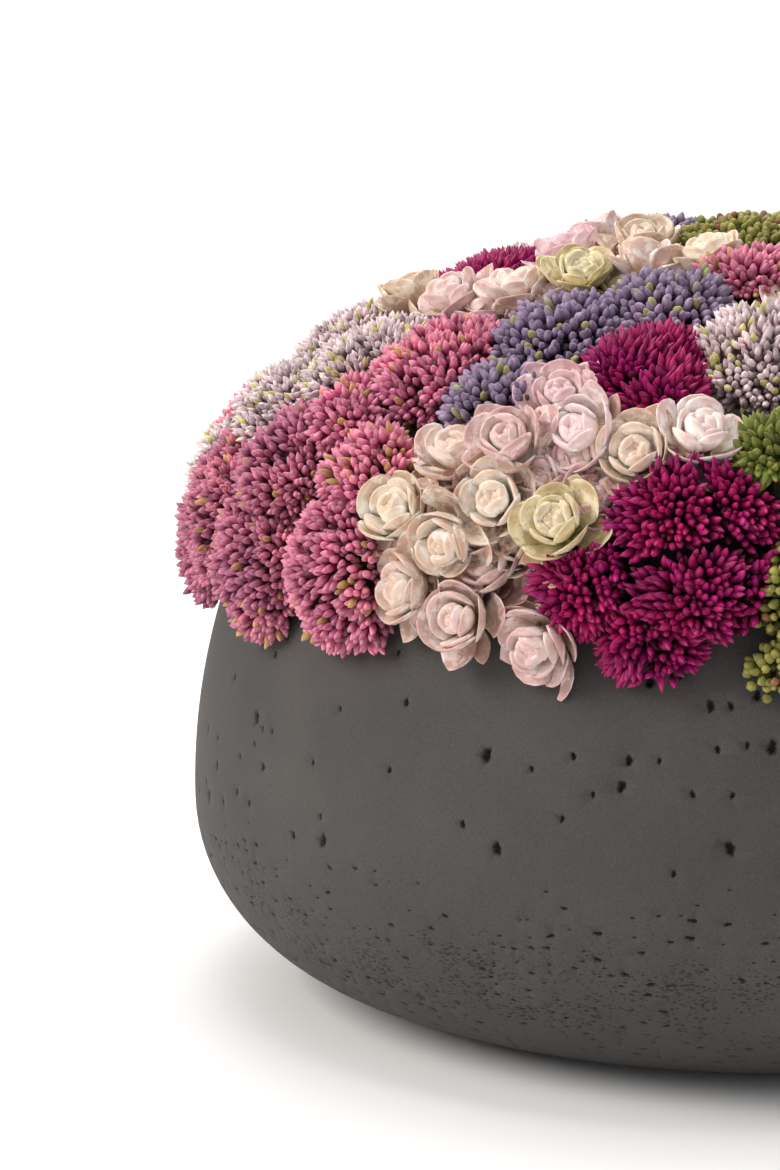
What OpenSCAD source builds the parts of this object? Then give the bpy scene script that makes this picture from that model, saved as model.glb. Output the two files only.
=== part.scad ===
// Round cast planter bowl with a lift-out insert of artificial sedum heads and rosettes.
// Units are millimetres. Z is up, and the origin is on the floor under the middle of the bowl.

/* [Bowl] */
// Widest diameter of the bowl
bowl_d = 450; // [444:1:456]
// Height of the rim above the floor
rim_z = 168; // [164:1:169]
// Diameter at the rim
rim_d = 412; // [408:1:416]
// Diameter of the flat underside
base_d = 294; // [280:2:300]
// Height of the widest line above the floor
belly_z = 73; // [68:1:78]
// Thickness of the cast wall
wall_t = 11; // [9:1:12]
// Thickness of the cast floor
floor_t = 13; // [11:1:14]
// Radius of the rounded rim edges
rim_round = 4; // [2:0.5:5]

/* [Feet and drain] */
// Number of rubber pads under the base
pad_count = 4; // [3:1:8]
// Diameter of one rubber pad
pad_d = 26; // [18:1:32]
// Height that the pads hold the casting off the floor
pad_rise = 1; // [0.5:0.5:2]
// Depth of the pocket that each pad is glued into
pad_pocket = 2.5; // [1.5:0.5:4]
// Diameter of the drain hole
drain_d = 20; // [14:1:24]

/* [Insert] */
// Outside diameter of the liner at its rim
liner_d = 372; // [366:1:374]
// Outside diameter of the liner at its floor
liner_base_d = 272; // [250:2:276]
// Thickness of the liner wall
liner_t = 2; // [1.5:0.5:3]
// Thickness of the moss over the foam
moss_t = 7; // [5:1:8]
// Height of the foam's crown above its edge
foam_crown = 44; // [40:1:46]

/* [Flowers] */
// Widest diameter of the dome of flowers
dome_d = 458; // [456:1:464]
// Height of the dome's widest line above the floor
dome_z = 173; // [173:1:175]
// Height of the dome above its widest line
dome_h = 121.5; // [120:0.5:125]
// Diameter of the wire stem of a sedum head
sedum_stem_d = 3; // [2:0.5:3.5]
// Diameter of the wire stem of a rosette
rosette_stem_d = 2; // [1.5:0.5:2.5]

/* [Hidden] */
$fn = 48;

// Bowl.
bowl_r = bowl_d / 2;
rim_r = rim_d / 2;
base_r = base_d / 2;
floor_z = pad_rise + floor_t;
cavity_base_r = base_r - 6;
low_steps = 9;
high_steps = 6;
round_steps = 3;

// Drain: the hole, the seat round it in the underside, and the plug.
drain_r = drain_d / 2;
seat_r = drain_r + 7;
seat_h = 3.5;
plug_fit = 0.1;
plug_flange_gap = 1.5;
plug_lip = 0.6;
pull_slot_w = 4;
pull_slot_h = 1.2;

// Foot pads.
pad_ring_r = 0.8 * base_r;
pad_gap = 0.2;

// Liner, foam and moss.
liner_r = liner_d / 2;
liner_base_r = liner_base_d / 2;
liner_top = rim_z - 4;
foam_gap = 0.2;
foam_r = liner_r - liner_t - foam_gap;
foam_edge_z = liner_top + 14;
foam_dip = 0.3;
moss_r = foam_r + moss_t;
moss_lap = 11;
crown_steps = 9;

// Flowers: the depth of a head, and how much wider it would grow if its neighbours let it.
dome_r = dome_d / 2;
head_depth = 36;
rosette_depth = 15;
sedum_steps = 5;
root_r = 2.5;
middle_depth = 12;
crowd = 1.3;
crowd_gap = 0.6;

// How far a hanging head stays off the bowl, and how the stems run to the foam.
bowl_clear = 2;
trim_tip = 65;
hang_tip = 92;
hang_root = 6;
stem_aim_z = 150;
stem_run = 40;
elbow_r = rim_r + 3;
elbow_z = rim_z + 6;
bend_swell = 0.8;

// The picks stand in two halves that are half a turn apart.
halves = [["near", 0], ["far", 180]];

// Each pick is [name, kind, colour, heads], and each head is [turn, tip, radius]: turn is in
// degrees from the front (-Y) towards -X, and tip is in degrees down from the top of the dome.
picks = [
    ["lilac_sedum_left", "sedum", "Thistle",
        [[57, 50, 23], [67, 60, 19], [81, 74, 15], [76, 46, 23], [79, 60, 11]]],
    ["pink_sedum_high", "sedum", "PaleVioletRed", [[41, 50, 22], [47, 61, 13]]],
    ["mauve_sedum_left", "sedum", "MediumOrchid", [[54, 71, 20], [55, 90, 21], [68, 79, 22]]],
    ["pink_sedum_left", "sedum", "HotPink", [[39, 71, 15], [40, 89, 21]]],
    ["lavender_sedum_low", "sedum", "SlateBlue", [[28, 57, 14]]],
    ["lavender_sedum_high", "sedum", "SlateBlue", [[27, 43, 20], [14, 36, 19]]],
    ["burgundy_sedum_high", "sedum", "DarkMagenta", [[12, 51, 17]]],
    ["burgundy_sedum_front", "sedum", "DarkMagenta", [[6, 81, 25], [9, 99, 12]]],
    ["burgundy_sedum_low", "sedum", "DarkMagenta", [[15, 89, 11]]],
    ["lilac_sedum_front", "sedum", "Thistle", [[-1, 47, 22]]],
    ["green_sedum_pointed", "sedum", "OliveDrab", [[-1, 66, 10]]],
    ["green_sedum_round", "sedum", "OliveDrab", [[-7, 90, 22], [-2, 104, 9]]],
    ["green_sedum_top", "sedum", "OliveDrab", [[6, 12, 24]]],
    ["pink_sedum_top", "sedum", "PaleVioletRed", [[2, 29, 14]]],
    ["burgundy_sedum_back", "sedum", "DarkMagenta", [[78, 28, 22]]],
    ["rosettes_front", "rosette", "Wheat",
        [[33, 77, 10], [29, 66, 10], [23, 66, 10], [23, 75, 10], [27, 83, 10], [17, 78, 10]]],
    ["rosettes_low", "rosette", "MistyRose", [[32, 90, 10], [26, 94, 10], [19, 99, 10]]],
    ["rosettes_upper", "rosette", "LavenderBlush", [[20, 57, 10], [17, 64, 10], [11, 67, 10], [5, 63, 10]]],
    ["rosettes_back", "rosette", "MistyRose", [[56, 37, 10], [45, 33, 10], [67, 38, 10]]],
    ["rosettes_top", "rosette", "Wheat",
        [[50, 24, 10], [35, 19, 10], [25, 24, 10], [12, 24, 10], [35, 29, 9], [62, 18, 10], [88, 37, 9]]],
    ["mauve_sedum_behind", "sedum", "MediumOrchid",
        [[84, 93, 19], [111, 46, 23], [164, 68, 21], [173, 72, 12]]],
    ["green_sedum_behind", "sedum", "OliveDrab", [[97, 90, 22], [128, 48, 23], [155, 28, 22]]],
    ["burgundy_sedum_behind", "sedum", "DarkMagenta", [[112, 90, 22], [134, 68, 23], [94, 48, 22]]],
    ["lilac_sedum_behind", "sedum", "Thistle", [[127, 90, 22], [103, 28, 22]]],
    ["pink_sedum_behind", "sedum", "PaleVioletRed",
        [[142, 90, 22], [90, 68, 20], [119, 68, 22], [162, 48, 22], [129, 28, 22]]],
    ["lavender_sedum_behind", "sedum", "SlateBlue",
        [[157, 90, 22], [104, 68, 22], [145, 46, 22], [85, 11, 22]]],
    ["rosettes_behind", "rosette", "Wheat",
        [[145, 66, 10], [151, 67, 10], [148, 75, 10], [155, 58, 9], [137, 15, 10], [115, 17, 9],
         [172, 37, 10]]]
];

function pick_node(half, pick) = str(half[0], "_", pick[0]);

// Outside radius of the casting at a height: a quarter ellipse up to the belly, then a parabola.
function quarter(z, low, r0, r1) = r0 + (r1 - r0) * sqrt(max(0, 1 - pow((belly_z - z) / (belly_z - low), 2)));
function upper_r(z) = bowl_r - (bowl_r - rim_r) * pow((z - belly_z) / (rim_z - belly_z), 2);
function bowl_r_at(z) = z < belly_z ? quarter(z, pad_rise, base_r, bowl_r) : upper_r(z);

// Inside radius of the casting at a height.
function cavity_r_at(z) =
    z < belly_z ? quarter(z, floor_z, cavity_base_r, bowl_r - wall_t) : upper_r(z) - wall_t;

// Heights from a low level to the belly, closer together where the curve is flat.
function low_heights(low) = [for (i = [0:low_steps]) belly_z - (belly_z - low) * cos(90 * i / low_steps)];
function high_heights(top) = [for (i = [1:high_steps]) belly_z + (top - belly_z) * i / high_steps];

// Points of a rounded corner about a centre, from one angle to another.
function corner(r, z, from, to) =
    [for (i = [0:round_steps]) let (a = from + (to - from) * i / round_steps)
        [r + rim_round * cos(a), z + rim_round * sin(a)]];

// Half outline of the cast shell, with its rim rounded over.
function shell_outline() =
    let (corner_z = rim_z - rim_round)
    concat(
        [[0, pad_rise]],
        [for (z = low_heights(pad_rise)) [bowl_r_at(z), z]],
        [for (z = high_heights(corner_z - 1)) [bowl_r_at(z), z]],
        corner(rim_r - rim_round, corner_z, 0, 90),
        corner(rim_r - wall_t + rim_round, corner_z, 90, 180),
        reverse([for (z = high_heights(corner_z - 1)) [cavity_r_at(z), z]]),
        reverse([for (z = low_heights(floor_z)) [cavity_r_at(z), z]]),
        [[0, floor_z]]
    );

function reverse(list) = [for (i = [len(list) - 1:-1:0]) list[i]];

// Points of a crown, from its edge up to the axis.
function crown(r, edge_z, h) =
    [for (i = [0:crown_steps])
        let (a = 90 * i / crown_steps)
        [i == crown_steps ? 0 : r * cos(a), edge_z + h * sin(a)]];

// Place children on the dome of flowers, facing straight out of it.
module on_dome(turn, tip)
    rotate([0, 0, -turn])
        translate([0, -dome_r * sin(tip), dome_z + dome_h * cos(tip)])
            rotate([face_tilt(tip), 0, 0])
                children();

function face_tilt(tip) = atan2(dome_h * sin(tip), dome_r * cos(tip));

// Distance from the axis, and height, of the point at some depth under a head's crown.
function point_under(tip, depth) = [
    dome_r * sin(tip) - depth * sin(face_tilt(tip)),
    dome_z + dome_h * cos(tip) - depth * cos(face_tilt(tip))
];

// A rod through a list of [distance from the axis, height] points, in the plane x = 0 on the
// -Y side, with a ball at each bend.
module bent_rod(points, d)
    for (i = [1:len(points) - 1]) {
        run = points[i] - points[i - 1];
        translate([0, -points[i - 1][0], points[i - 1][1]]) {
            rotate([atan2(run[0], run[1]), 0, 0]) cylinder(h = norm(run), d = d);
            if (i > 1) sphere(d = d + bend_swell);
        }
    }

// The wire stem of one head, which goes down between the heads, or over the rim, to the foam.
module stem(kind, turn, tip) {
    hangs = tip > hang_tip;
    bend = hangs ? [elbow_r, elbow_z] : point_under(tip, head_depth);
    start = point_under(tip, hangs ? hang_root : head_h(kind) - 1);
    way = ([0, stem_aim_z] - bend) / norm([0, stem_aim_z] - bend);
    rotate([0, 0, -turn])
        bent_rod([start, bend, bend + way * stem_run], kind == "sedum" ? sedum_stem_d : rosette_stem_d);
}

function head_h(kind) = kind == "sedum" ? head_depth - 3 : rosette_depth;

// A closed flower head about +Z, with its crown at the origin: a dome over a cone.
module head_solid(kind, r) {
    top = min((kind == "sedum" ? 0.65 : 0.5) * r, head_h(kind) - 4);
    rotate_extrude()
        polygon(concat(
            [for (i = [0:sedum_steps]) let (a = 90 * i / sedum_steps) [r * sin(a), top * (cos(a) - 1)]],
            [[root_r, -head_h(kind)], [0, -head_h(kind)]]
        ));
}

// Crowded heads meet on the plane between them, which lies nearer to the smaller head.
all_heads = [for (half = halves) for (p = picks) for (head = p[3]) [head[0] + half[1], head[1], head[2]]];
function middle(head) =
    let (m = point_under(head[1], middle_depth))
    [-m[0] * sin(head[0]), -m[0] * cos(head[0]), m[1]];
function neighbours(head) =
    [for (other = all_heads)
        let (apart = norm(middle(other) - middle(head)))
        if (apart > 1 && apart < crowd * (head[2] + other[2])) other];

// The half of space that a neighbour's head takes.
module beyond(head, other) {
    gap = middle(other) - middle(head);
    apart = norm(gap);
    share = (pow(apart, 2) + pow(head[2], 2) - pow(other[2], 2)) / (2 * apart) - crowd_gap / 2;
    translate(middle(head) + gap * share / apart)
        rotate([0, acos(gap[2] / apart), atan2(gap[1], gap[0])])
            cylinder(h = 2 * head_depth, r = 2 * head_depth);
}

// The space that the bowl fills, and a little round it, which hanging heads keep out of.
module bowl_space() {
    lowest = belly_z + 30;
    rotate_extrude()
        polygon(concat(
            [[0, lowest]],
            [for (i = [0:high_steps]) let (z = lowest + (rim_z - lowest) * i / high_steps)
                [bowl_r_at(z) + bowl_clear, z]],
            [[rim_r + bowl_clear - 1, rim_z + bowl_clear], [0, rim_z + bowl_clear]]
        ));
}

// One pick: its heads, trimmed clear of the bowl and of their neighbours, and their stems.
module pick(p)
    color(p[2])
        for (head = p[3])
            union() {
                difference() {
                    on_dome(head[0], head[1]) head_solid(p[1], crowd * head[2]);
                    if (head[1] > trim_tip) bowl_space();
                    for (other = neighbours(head)) beyond(head, other);
                }
                stem(p[1], head[0], head[1]);
            }

module bowl()
    color("DimGray")
        difference() {
            rotate_extrude() polygon(shell_outline());
            translate([0, 0, -1]) cylinder(h = floor_z + 2, r = drain_r);
            translate([0, 0, -1]) cylinder(h = 1 + pad_rise + seat_h, r = seat_r);
            on_pad_ring() cylinder(h = pad_rise + pad_pocket, d = pad_d + 2 * pad_gap);
        }

module on_pad_ring()
    for (i = [0:pad_count - 1])
        rotate([0, 0, 45 + 360 * i / pad_count])
            translate([pad_ring_r, 0, 0])
                children();

module foot_pads()
    color("Black")
        on_pad_ring() cylinder(h = pad_rise + pad_pocket, d = pad_d);

// The plug goes in from below, and a slot in its flange takes a fingernail or a coin.
module drain_plug()
    color("Black")
        difference() {
            union() {
                translate([0, 0, pad_rise + plug_lip])
                    cylinder(h = seat_h - plug_lip, r = seat_r - plug_flange_gap);
                translate([0, 0, pad_rise + plug_lip])
                    cylinder(h = floor_z - pad_rise - plug_lip - 1, r = drain_r - plug_fit);
            }
            translate([-seat_r, -pull_slot_w / 2, 0])
                cube([2 * seat_r, pull_slot_w, pad_rise + plug_lip + pull_slot_h]);
        }

module liner()
    color("DarkSlateGray")
        rotate_extrude()
            polygon([
                [0, floor_z],
                [liner_base_r, floor_z],
                [liner_r, liner_top],
                [liner_r - liner_t, liner_top],
                [liner_base_r - liner_t, floor_z + liner_t],
                [0, floor_z + liner_t]
            ]);

module foam_core()
    color("DarkOliveGreen")
        rotate_extrude()
            polygon(concat(
                [[0, floor_z + liner_t], [liner_base_r - liner_t - foam_dip, floor_z + liner_t]],
                [[foam_r, liner_top]],
                crown(foam_r, foam_edge_z, foam_crown)
            ));

module moss_cover()
    color("ForestGreen")
        rotate_extrude()
            polygon(concat(
                [[foam_r, foam_edge_z - moss_lap], [moss_r, foam_edge_z - moss_lap]],
                crown(moss_r, foam_edge_z, foam_crown + moss_t),
                reverse(crown(foam_r, foam_edge_z, foam_crown))
            ));

bowl();
foot_pads();
drain_plug();
liner();
foam_core();
moss_cover();
for (half = halves)
    for (p = picks)
        rotate([0, 0, half[1]]) pick(p);
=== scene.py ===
import math
import bmesh
import bpy
import numpy as np
from mathutils import Matrix, Vector, noise
from mathutils.geometry import delaunay_2d_cdt


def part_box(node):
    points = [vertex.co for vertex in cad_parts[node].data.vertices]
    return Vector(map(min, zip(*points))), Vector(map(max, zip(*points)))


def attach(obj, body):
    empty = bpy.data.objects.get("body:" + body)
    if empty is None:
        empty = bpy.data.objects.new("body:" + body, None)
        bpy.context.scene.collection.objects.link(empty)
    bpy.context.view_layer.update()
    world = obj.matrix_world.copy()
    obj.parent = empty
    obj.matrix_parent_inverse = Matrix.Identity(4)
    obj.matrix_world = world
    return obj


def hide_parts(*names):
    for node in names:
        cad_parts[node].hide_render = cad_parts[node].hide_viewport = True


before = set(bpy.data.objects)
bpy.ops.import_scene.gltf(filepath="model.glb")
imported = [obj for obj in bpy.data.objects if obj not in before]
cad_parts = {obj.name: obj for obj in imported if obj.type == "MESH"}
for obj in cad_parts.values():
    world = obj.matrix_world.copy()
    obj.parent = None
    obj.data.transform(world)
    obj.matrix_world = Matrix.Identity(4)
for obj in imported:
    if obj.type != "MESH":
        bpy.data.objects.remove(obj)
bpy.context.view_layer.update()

mm = 0.001
goldenAngle = math.pi * (3 - math.sqrt(5))
anyTurn = (0, 6.28)

# What the materials read from a mesh: the share of the way along a bud or petal, two random shades of it,
# and how deep or far out it sits, which on buds sets how much painted shade they get
pointMarks = ("along", "tone", "tint", "depth")

# The dome that every flower head reaches out to, as the part has it, in mm
dome = {"radius": 229, "middle": 173, "height": 121.5}


# Colours and nodes

def hexColour(code):
    parts = [int(code[i:i + 2], 16) / 255 for i in (0, 2, 4)]
    return [p / 12.92 if p <= 0.04045 else ((p + 0.055) / 1.055) ** 2.4 for p in parts] + [1.0]


def addNode(tree, kind, inputs=None, stops=None, **settings):
    node = tree.nodes.new("ShaderNode" + kind)
    for key, value in settings.items():
        setattr(node, key, value)
    if stops:
        ramp = node.color_ramp.elements
        while len(ramp) < len(stops):
            ramp.new(1.0)
        for element, (position, code) in zip(ramp, stops):
            element.position = position
            element.color = hexColour(code)
    for key, value in (inputs or {}).items():
        if isinstance(value, bpy.types.NodeSocket):
            tree.links.new(value, node.inputs[key])
        else:
            node.inputs[key].default_value = value
    return node


def startMaterial(name):
    material = bpy.data.materials.new(name)
    material.use_nodes = True
    tree = material.node_tree
    tree.nodes.clear()
    return material, tree, addNode(tree, "TexCoord").outputs["Object"]


def noiseOf(tree, place, scale, detail, roughness=0.5):
    return addNode(tree, "TexNoise", {"Vector": place, "Scale": scale, "Detail": detail,
                                      "Roughness": roughness}).outputs["Fac"]


def markOf(tree, name):
    return addNode(tree, "Attribute", attribute_name=name).outputs["Fac"]


def rampOf(tree, value, *stops):
    return addNode(tree, "ValToRGB", {"Fac": value}, stops=stops).outputs["Color"]


def spreadOf(tree, value, low, high, start=0.0, end=1.0):
    # Turns values from start to end into values from low to high
    return addNode(tree, "MapRange", {0: value, 1: start, 2: end, 3: low, 4: high}).outputs[0]


def mathOf(tree, operation, *values):
    return addNode(tree, "Math", dict(enumerate(values)), operation=operation).outputs[0]


def mixOf(tree, share, first, second, blend="MIX"):
    if isinstance(second, str):
        second = hexColour(second)
    return addNode(tree, "Mix", {0: share, 6: first, 7: second}, data_type="RGBA",
                   blend_type=blend).outputs[2]


def bumpOf(tree, height, strength, distance):
    return addNode(tree, "Bump", {"Height": height, "Strength": strength, "Distance": distance}).outputs[0]


def skinMaterial(name, patch, stops, grain, bump, **sockets):
    # A cloudy tone and a fine grain; patch and grain are a noise scale and its detail
    material, tree, place = startMaterial(name)
    tone = rampOf(tree, noiseOf(tree, place, *patch), *stops)
    closeMaterial(tree, tone, bumpOf(tree, noiseOf(tree, place, *grain), *bump), **sockets)
    return material


def closeMaterial(tree, colour, bump, **sockets):
    inputs = dict(sockets, **{"Base Color": colour})
    if bump is not None:
        inputs["Normal"] = bump
    shader = addNode(tree, "BsdfPrincipled", inputs)
    addNode(tree, "OutputMaterial", {"Surface": shader.outputs[0]})


def addObject(name, data):
    item = bpy.data.objects.new(name, data)
    bpy.context.scene.collection.objects.link(item)
    return item


# Mesh work: lathe templates, scattering them, and one mesh from many batches

def latheFaces(rings, sides):
    tris = []
    uvs = []
    rows = rings + 1
    top = 1 + rings * sides
    for side in range(sides):
        after = (side + 1) % sides
        left = side / sides
        right = (side + 1) / sides
        tris.append((0, 1 + after, 1 + side))
        uvs.append(((left, 0), (right, 1 / rows), (left, 1 / rows)))
        for ring in range(rings - 1):
            a = 1 + ring * sides + side
            b = 1 + ring * sides + after
            low = (ring + 1) / rows
            high = (ring + 2) / rows
            tris.append((a, b, b + sides))
            uvs.append(((left, low), (right, low), (right, high)))
            tris.append((a, b + sides, a + sides))
            uvs.append(((left, low), (right, high), (left, high)))
        tris.append((top - sides + side, top - sides + after, top))
        uvs.append(((left, rings / rows), (right, rings / rows), (left, 1)))
    return np.array(tris), np.array(uvs, float)


def unitRows(rows):
    return rows / np.linalg.norm(rows, axis=1, keepdims=True)


def ringOf(turn):
    return np.stack([np.cos(turn), np.sin(turn), 0 * turn], 1)


def onSphere(tip, turn):
    # Unit vectors, tip away from the axis and turn round it
    return np.stack([np.sin(tip) * np.cos(turn), np.sin(tip) * np.sin(turn), np.cos(tip)], 1)


def lathe(profile, sides, ridge=0.0):
    # profile is (height, radius) from one end to the other, and both ends lie on the axis
    heights = np.array([p[0] for p in profile], float)
    radii = np.array([p[1] for p in profile], float)
    rings = len(profile) - 2
    turn = np.arange(sides) * 2 * math.pi / sides
    swell = 1 - ridge * (np.arange(sides) % 2)
    co = np.zeros((rings * sides + 2, 3))
    co[0, 2] = heights[0]
    co[-1, 2] = heights[-1]
    body = co[1:-1].reshape(rings, sides, 3)
    body[..., 0] = radii[1:-1, None] * (np.cos(turn) * swell)
    body[..., 1] = radii[1:-1, None] * (np.sin(turn) * swell)
    body[..., 2] = heights[1:-1, None]
    tris, uvs = latheFaces(rings, sides)
    return {"co": co, "tris": tris, "uvs": uvs, "along": np.clip(co[:, 2], -1, 1)}


def tube(points, radii, sides=6):
    # A closed tube through points, with a radius at each
    points = np.array(points, float)
    runs = np.gradient(points, axis=0)
    frames = axesAlong(runs, np.zeros(len(points)))
    turn = np.arange(sides) * 2 * math.pi / sides
    body = points[:, None] + np.einsum("sk,nkj->nsj", ringOf(turn), frames) * np.array(radii)[:, None, None]
    co = np.concatenate([points[:1], body.reshape(-1, 3), points[-1:]])
    tris, uvs = latheFaces(len(points), sides)
    return {"co": co, "tris": tris, "uvs": uvs, "along": np.zeros(len(co))}


def axesAlong(directions, rolls):
    # One frame for each direction: its rows are the side, up and forward axes
    z = unitRows(directions)
    guide = np.where(np.abs(z[:, 2:]) > 0.9, [[1.0, 0, 0]], [[0, 0, 1.0]])
    x = unitRows(np.cross(guide, z))
    y = np.cross(z, x)
    c = np.cos(rolls)[:, None]
    s = np.sin(rolls)[:, None]
    return np.stack([x * c + y * s, y * c - x * s, z], 1)


def scatter(template, places, frames, sizes, bends=None, **marks):
    co = template["co"][None] * sizes[:, None, :]
    if bends is not None:
        co[..., 0] += bends[:, None] * co[..., 2] ** 2 / sizes[:, 2][:, None]
    co = np.einsum("nvk,nkj->nvj", co, frames) + places[:, None]
    return {"co": co, "template": template, "marks": marks}


def single(template, **marks):
    return {"co": template["co"][None], "template": template, "marks": marks}


def makeMesh(name, batches, materials):
    # Every bud, petal and stem has its own cell of the OFBake layer, so that none share a patch
    total = sum(len(b["co"]) for b in batches)
    across = math.ceil(math.sqrt(total))
    allCo, allTris, allUvs, allSlots = [], [], [], []
    allMarks = {key: [] for key in pointMarks}
    start = 0
    cell = 0
    for batch in batches:
        template = batch["template"]
        count, size = batch["co"].shape[:2]
        allCo.append(batch["co"].reshape(-1, 3))
        offsets = start + np.arange(count) * size
        allTris.append((template["tris"][None] + offsets[:, None, None]).reshape(-1, 3))
        cells = cell + np.arange(count)
        corner = np.stack([cells % across, cells // across], 1)[:, None, None, :]
        allUvs.append(((corner + 0.06 + 0.88 * template["uvs"][None]) / across).reshape(-1, 2))
        allSlots.append(np.full(count * len(template["tris"]), batch.get("slot", 0)))
        for key in allMarks:
            value = batch["marks"].get(key, template["along"][None] if key == "along" else 0.0)
            value = np.asarray(value, float)
            if value.ndim == 1:
                value = value[:, None]
            allMarks[key].append(np.broadcast_to(value, (count, size)).reshape(-1))
        start += count * size
        cell += count
    co = np.concatenate(allCo) * mm
    tris = np.concatenate(allTris)
    mesh = bpy.data.meshes.new(name)
    mesh.vertices.add(len(co))
    mesh.vertices.foreach_set("co", co.astype(np.float32).ravel())
    mesh.loops.add(len(tris) * 3)
    mesh.loops.foreach_set("vertex_index", tris.astype(np.int32).ravel())
    mesh.polygons.add(len(tris))
    mesh.polygons.foreach_set("loop_start", np.arange(0, len(tris) * 3, 3, dtype=np.int32))
    mesh.polygons.foreach_set("material_index", np.concatenate(allSlots).astype(np.int32))
    layer = mesh.uv_layers.new(name="OFBake")
    layer.data.foreach_set("uv", np.concatenate(allUvs).astype(np.float32).ravel())
    for key, values in allMarks.items():
        mark = mesh.attributes.new(key, "FLOAT", "POINT")
        mark.data.foreach_set("value", np.concatenate(values).astype(np.float32))
    mesh.update(calc_edges=True)
    mesh.validate()
    mesh.shade_smooth()
    for material in materials:
        mesh.materials.append(material)
    return addObject(name, mesh)


def nodePoints(name):
    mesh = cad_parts[name].data
    co = np.zeros(len(mesh.vertices) * 3)
    mesh.vertices.foreach_get("co", co)
    return co.reshape(-1, 3) / mm


# Camera and light

cameraLook = {
    "place": (0.003, -1.042, 0.284),
    "aim": (-0.148, 0.0, 0.149),
    "roll": -1.3,
    "lens": 81.4,
}


def makeCamera(look):
    data = bpy.data.cameras.new("camera")
    data.lens = look["lens"]
    data.sensor_width = 36
    camera = addObject("camera", data)
    forward = (Vector(look["aim"]) - Vector(look["place"])).normalized()
    right = forward.cross(Vector((0, 0, 1))).normalized()
    up = right.cross(forward)
    roll = math.radians(look["roll"])
    tilted = right * math.cos(roll) + up * math.sin(roll)
    upright = up * math.cos(roll) - right * math.sin(roll)
    matrix = Matrix((tilted, upright, -forward)).transposed().to_4x4()
    matrix.translation = Vector(look["place"])
    camera.matrix_world = matrix
    bpy.context.scene.camera = camera


# name: where it stands, how wide it is in m, its power in W, its tint
lights = {
    "keyLeft": ((-1.5, -0.7, 1.15), 1.1, 30, "FFFAF4"),
    "fillRight": ((1.5, -1.3, 0.8), 1.4, 5, "F6F9FF"),
    "topSoft": ((0.1, 0.2, 1.9), 1.5, 27, "FFFFFF"),
    "rim": ((-0.5, 1.6, 1.0), 1.0, 10, "FFFFFF"),
}


studioLook = {"light": 0.47, "backdrop": 1.05}  # strength of the white room, as light and as seen


def makeLights():
    middle = Vector((0, 0, 0.15))
    for name, (place, width, power, tint) in lights.items():
        data = bpy.data.lights.new(name, "AREA")
        data.size = width
        data.energy = power
        data.color = hexColour(tint)[:3]
        lamp = addObject(name, data)
        lamp.location = place
        lamp.rotation_euler = (middle - Vector(place)).to_track_quat("-Z", "Y").to_euler()
    world = bpy.data.worlds.new("studio")
    world.use_nodes = True
    tree = world.node_tree
    seen = addNode(tree, "LightPath").outputs["Is Camera Ray"]
    strength = spreadOf(tree, seen, studioLook["light"], studioLook["backdrop"])
    tree.nodes["Background"].inputs["Color"].default_value = hexColour("FFFFFF")
    tree.links.new(strength, tree.nodes["Background"].inputs["Strength"])
    bpy.context.scene.world = world
    bpy.context.scene.view_settings.view_transform = "Standard"


def makeFloor():
    mesh = bpy.data.meshes.new("floor")
    reach = 1.5
    mesh.from_pydata([(-reach, -reach, 0), (reach, -reach, 0), (reach, reach, 0), (-reach, reach, 0)], [],
                     [(0, 1, 2, 3)])
    # Matt painted board: no gloss, a faint unevenness of the roller
    material, tree, place = startMaterial("rolledMattPaint")
    cloud = noiseOf(tree, place, 3.0, 3.0)
    tone = rampOf(tree, cloud, (0.3, "F4F4F4"), (0.7, "F8F8F8"))
    closeMaterial(tree, tone, None, Roughness=0.9)
    mesh.materials.append(material)
    floor = addObject("floor", mesh)


makeCamera(cameraLook)
makeLights()
makeFloor()
print("camera, lights and floor are in place")


# Bowl: cast stone with air pores, some large and scattered, many small in a band low down

bowlLook = {
    "grid": 5.0,  # mm between plain mesh points on the wall
    "largePores": 230,
    "largeSize": (1.9, 4.8),  # mm across
    "largeBand": (78, 152),  # heights in mm
    "largeForm": (0.72, 1.2),  # how wide and how tall, as shares: these stand upright
    "smallPores": 1700,
    "smallSize": (0.9, 2.4),
    "smallBand": (9, 84),
    "smallForm": (1.5, 0.68),  # these lie flat
    "apart": (1.7, 0.6),  # least gap between pores: a share of their radii, and mm on top
    "drift": 25,  # mm, the width of a drift of small pores
    "rings": ((1.3, 0.0), (1.0, 0.08), (0.72, 0.7), (0.36, 0.95)),  # a pore's width and depth shares
    "depth": 0.5,  # of a pore's width
    # The next value is the pit depth at which a pore's painted shade is full
    "dark": 0.45,  # mm, the depth at which a pore is fully dark
    "seed": 11,
}


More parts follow.
